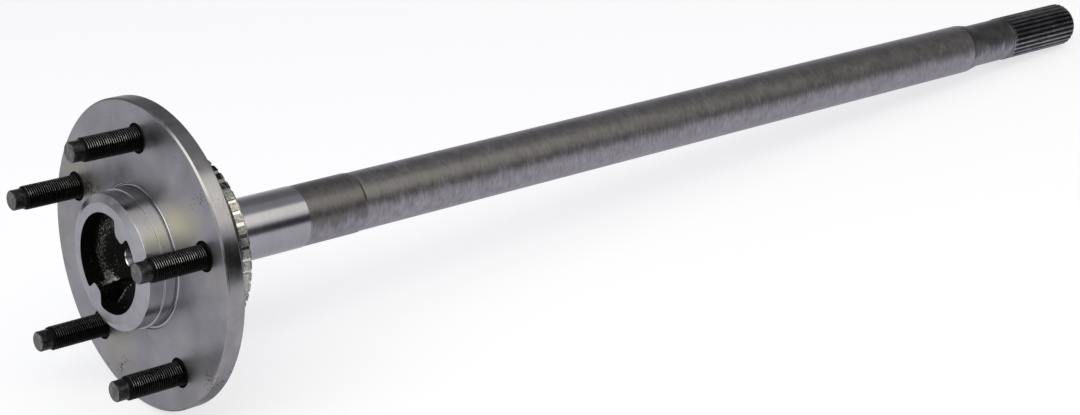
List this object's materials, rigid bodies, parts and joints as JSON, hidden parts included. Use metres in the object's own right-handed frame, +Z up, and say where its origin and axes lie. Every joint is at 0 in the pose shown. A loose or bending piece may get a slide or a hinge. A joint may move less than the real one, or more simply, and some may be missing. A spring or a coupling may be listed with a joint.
{
  "type": "axle shaft",
  "caption": "Flanged rear axle shaft with wheel studs, a stepped wheel pilot with a forged pocket, a tone ring behind the flange, a ground journal and an involute spline.",
  "frame": {"origin": "centre of the wheel face, where the axle line meets the face that the wheel or brake drum sits on", "axes": "the shaft lies on a floor as it comes to rest, on its flange rim and the tips of its spline: +Z is up, the shaft runs from the flange towards +X and falls by 5.03 degrees, +Y is level across it, and the first stud stands at the top. The wheel face's outward normal is (-0.99614, 0, 0.08775)."},
  "size_m": [0.8155, 0.1638, 0.1641],
  "materials": {
    "axle_steel": "bare forged steel: flange face, pilot and journal turned and ground bright, shaft body turned dull, pocket left in black forging scale",
    "ring_steel": "bare machined steel, satin",
    "stud_phosphate": "black phosphate and oil on steel"
  },
  "bodies": {
    "root": {"axle_shaft": "axle_steel", "tone_ring": "ring_steel", "wheel_stud_1": "stud_phosphate", "wheel_stud_2": "stud_phosphate", "wheel_stud_3": "stud_phosphate", "wheel_stud_4": "stud_phosphate", "wheel_stud_5": "stud_phosphate"}
  },
  "joints": []
}
